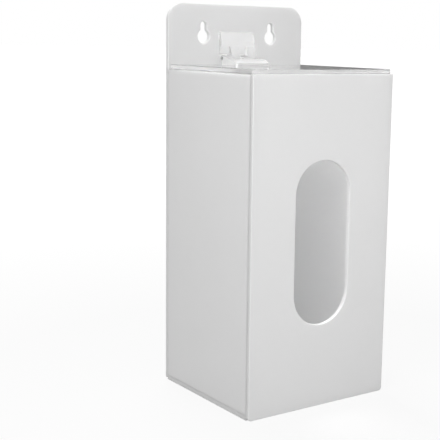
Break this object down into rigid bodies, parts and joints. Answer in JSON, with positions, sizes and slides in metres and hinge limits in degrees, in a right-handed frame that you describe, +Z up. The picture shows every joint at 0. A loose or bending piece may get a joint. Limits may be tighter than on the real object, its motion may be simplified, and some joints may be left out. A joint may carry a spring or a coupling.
{
  "type": "disposable glove dispenser",
  "caption": "Tall open-topped box of white sheet on a hanging back plate, with a rounded slot in its front for drawing out gloves and a clear hinged lid.",
  "frame": {"origin": "centre of the footprint, on the surface that the box stands on", "axes": "+X to the right as the user faces the slot, +Y towards the wall, +Z up"},
  "size_m": [0.1524, 0.141, 0.3556],
  "materials": {
    "white_sheet": "glossy cast acrylic sheet with polished edges",
    "clear_sheet": "clear cast acrylic sheet with polished edges",
    "clear_moulding": "clear injection moulding, glossy",
    "pin_rod": "clear extruded rod"
  },
  "bodies": {
    "case": {"back_plate": "white_sheet", "front_panel": "white_sheet", "left_panel": "white_sheet", "right_panel": "white_sheet", "bottom_panel": "white_sheet", "hinge_wall_leaf": "clear_moulding", "hinge_pin": "pin_rod"},
    "lid": {"lid": "clear_sheet", "hinge_lid_leaf": "clear_moulding"}
  },
  "joints": [
    {"name": "lid_hinge", "type": "hinge", "parent": "case", "child": "lid", "pos_m": [0, 0.0605, 0.3061], "axis": [-1, 0, 0], "range_deg": [0, 90]}
  ]
}
